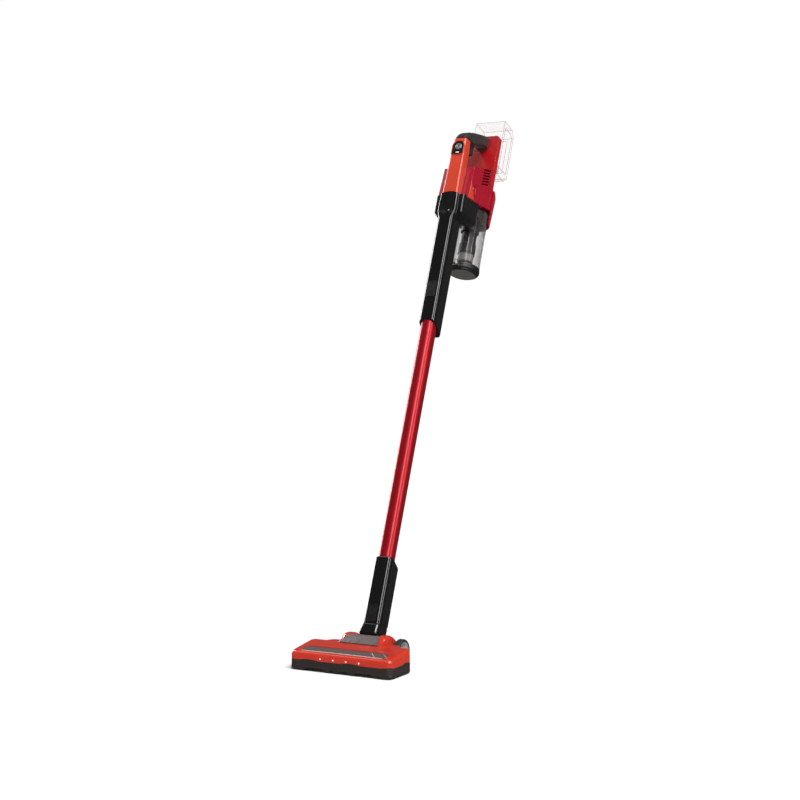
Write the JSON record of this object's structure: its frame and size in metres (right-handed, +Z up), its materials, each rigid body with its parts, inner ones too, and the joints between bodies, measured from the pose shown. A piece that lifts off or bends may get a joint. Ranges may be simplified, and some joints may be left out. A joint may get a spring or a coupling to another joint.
{
  "type": "upright vacuum cleaner",
  "caption": "Cordless upright stick vacuum: powered floor head with brush roll, swivelling neck, long tube, cyclone dust bin, motor housing with grip, and a slide-on battery.",
  "frame": {"origin": "on the floor under the middle of the head's lint strip", "axes": "+Z up from the floor, +Y to the rear, the way the stick leans, +X to the viewer's right when facing the front of the head"},
  "size_m": [0.232, 0.7352, 1.1748],
  "materials": {
    "black_gloss": "polished moulded black",
    "button_black": "fine satin",
    "grip_rubber": "soft overmould",
    "column_red": "polished bright red",
    "housing_red": "polished crimson",
    "mount_red": "polished red",
    "cover_red": "polished red",
    "tube_red": "metallic red lacquer",
    "base_grey": "fine spark texture",
    "panel_grey": "satin",
    "window_tint": "tinted clear moulding",
    "light_white": "frosted lens",
    "felt_red": "short felt pile",
    "bristle_red": "nylon tufts",
    "core_black": "moulded",
    "steel": "turned",
    "motor_can": "drawn can",
    "pulley_plastic": "moulded acetal",
    "seal_rubber": "moulded",
    "tyre": "soft tread",
    "hub_grey": "moulded",
    "panel_black": "polished",
    "button_silver": "satin",
    "terminal_brass": "plain",
    "battery_clear": "clear moulding",
    "bin_smoke": "smoke tinted clear moulding",
    "filter_black": "moulded",
    "filter_grey": "moulded",
    "filter_paper": "pleated paper",
    "lid_grey": "moulded"
  },
  "bodies": {
    "hand_unit": {"sleeve": "black_gloss", "sleeve_button_spring": "steel", "inlet_seal": "seal_rubber", "housing_left": "housing_red", "housing_right": "housing_red", "motor_mount": "seal_rubber", "suction_motor": "motor_can", "handle_column": "column_red", "display_panel": "panel_black", "grip": "grip_rubber", "battery_mount": "mount_red", "battery_terminals": "terminal_brass", "terminal_block": "core_black", "rear_skirt": "housing_red"},
    "fan": {"fan": "pulley_plastic"},
    "power_button": {"power_button": "button_silver"},
    "trigger": {"trigger": "button_black"},
    "sleeve_button": {"sleeve_button": "button_black"},
    "bin_button": {"bin_button": "button_black"},
    "battery": {"battery_pack": "battery_clear"},
    "battery_button": {"battery_button": "battery_clear"},
    "bin": {"bin_shell": "bin_smoke", "filter_head": "filter_black", "filter_cone": "filter_black", "filter_ring": "filter_grey", "pleated_filter": "filter_paper", "bin_seal": "seal_rubber", "lid_pin": "steel"},
    "bin_lid": {"bin_lid": "lid_grey"},
    "tube": {"main_tube": "tube_red", "wire_conduit": "core_black"},
    "neck": {"neck_shell": "black_gloss", "neck_button_spring": "steel"},
    "neck_button": {"neck_button": "button_black"},
    "elbow": {"elbow": "black_gloss"},
    "head": {"base_plate": "base_grey", "bearing_blocks": "core_black", "head_screws": "steel", "lint_strip": "felt_red", "drive_belt": "seal_rubber", "brush_motor": "motor_can", "suction_duct": "base_grey", "head_cover": "cover_red", "brush_window": "window_tint", "head_lights": "light_white", "rear_cover": "cover_red", "hinge_panel": "panel_grey", "carrier": "base_grey", "axle_pins": "steel"},
    "brush_roll": {"brush_core": "core_black", "brush_bristles": "bristle_red", "brush_pulley": "pulley_plastic"},
    "belt_drive": {"motor_pulley": "pulley_plastic", "motor_shaft": "steel"},
    "wheel_left": {"wheel_hub_left": "hub_grey", "wheel_tyre_left": "tyre"},
    "wheel_right": {"wheel_hub_right": "hub_grey", "wheel_tyre_right": "tyre"},
    "roller_left": {"roller_left": "tyre"},
    "roller_right": {"roller_right": "tyre"}
  },
  "joints": [
    {"name": "tube_slide", "type": "slide", "parent": "hand_unit", "child": "tube", "axis": [0, -0.3608, -0.9326], "range_m": [0, 0.09]},
    {"name": "neck_slide", "type": "slide", "parent": "tube", "child": "neck", "axis": [0, -0.3608, -0.9326], "range_m": [0, 0.12]},
    {"name": "head_swivel", "type": "hinge", "parent": "neck", "child": "elbow", "pos_m": [0, 0.09491, 0.07578], "axis": [0, 0.3608, 0.9326], "range_deg": [-45, 45]},
    {"name": "head_pitch", "type": "hinge", "parent": "elbow", "child": "head", "pos_m": [0, 0.083, 0.045], "axis": [1, 0, 0], "range_deg": [-21, 45]},
    {"name": "brush_spin", "type": "hinge", "parent": "head", "child": "brush_roll", "pos_m": [0, -0.0235, 0.0165], "axis": [1, 0, 0], "continuous": true},
    {"name": "motor_pulley_spin", "type": "hinge", "parent": "head", "child": "belt_drive", "pos_m": [0, 0.022, 0.024], "axis": [1, 0, 0], "continuous": true},
    {"name": "wheel_left_spin", "type": "hinge", "parent": "head", "child": "wheel_left", "pos_m": [-0.06, 0.1, 0.026], "axis": [1, 0, 0], "continuous": true},
    {"name": "wheel_right_spin", "type": "hinge", "parent": "head", "child": "wheel_right", "pos_m": [0.06, 0.1, 0.026], "axis": [1, 0, 0], "continuous": true},
    {"name": "roller_left_spin", "type": "hinge", "parent": "head", "child": "roller_left", "pos_m": [-0.1115, -0.028, 0.0045], "axis": [1, 0, 0], "continuous": true},
    {"name": "roller_right_spin", "type": "hinge", "parent": "head", "child": "roller_right", "pos_m": [0.1115, -0.028, 0.0045], "axis": [1, 0, 0], "continuous": true},
    {"name": "fan_spin", "type": "hinge", "parent": "hand_unit", "child": "fan", "pos_m": [0, 0.5581, 0.97095], "axis": [0, 0.3608, 0.9326], "continuous": true},
    {"name": "power_press", "type": "slide", "parent": "hand_unit", "child": "power_button", "axis": [0, 0.9326, -0.3608], "range_m": [0, 0.0008], "stiffness_N_per_m": 400},
    {"name": "trigger_pull", "type": "slide", "parent": "hand_unit", "child": "trigger", "axis": [0, 0.3608, 0.9326], "range_m": [0, 0.004], "stiffness_N_per_m": 400},
    {"name": "sleeve_button_press", "type": "slide", "parent": "hand_unit", "child": "sleeve_button", "axis": [0, 0.9326, -0.3608], "range_m": [0, 0.002], "stiffness_N_per_m": 600, "deforming": ["sleeve_button_spring"]},
    {"name": "neck_button_press", "type": "slide", "parent": "neck", "child": "neck_button", "axis": [0, 0.9326, -0.3608], "range_m": [0, 0.002], "stiffness_N_per_m": 600, "deforming": ["neck_button_spring"]},
    {"name": "bin_button_press", "type": "slide", "parent": "hand_unit", "child": "bin_button", "axis": [0, -0.9326, 0.3608], "range_m": [0, 0.0016], "stiffness_N_per_m": 500},
    {"name": "bin_slide", "type": "slide", "parent": "hand_unit", "child": "bin", "axis": [0, -0.3608, -0.9326], "range_m": [0, 0.15]},
    {"name": "lid_open", "type": "hinge", "parent": "bin", "child": "bin_lid", "pos_m": [0, 0.46126, 0.8315], "axis": [-1, 0, 0], "range_deg": [0, 80]},
    {"name": "battery_slide", "type": "slide", "parent": "hand_unit", "child": "battery", "axis": [0, 0.3608, 0.9326], "range_m": [0, 0.11]},
    {"name": "battery_button_press", "type": "slide", "parent": "battery", "child": "battery_button", "axis": [0, -0.9326, 0.3608], "range_m": [0, 0.0015], "stiffness_N_per_m": 500}
  ],
  "couplings": [
    {"joint": "motor_pulley_spin", "follows": "brush_spin", "ratio": 1.5556}
  ]
}
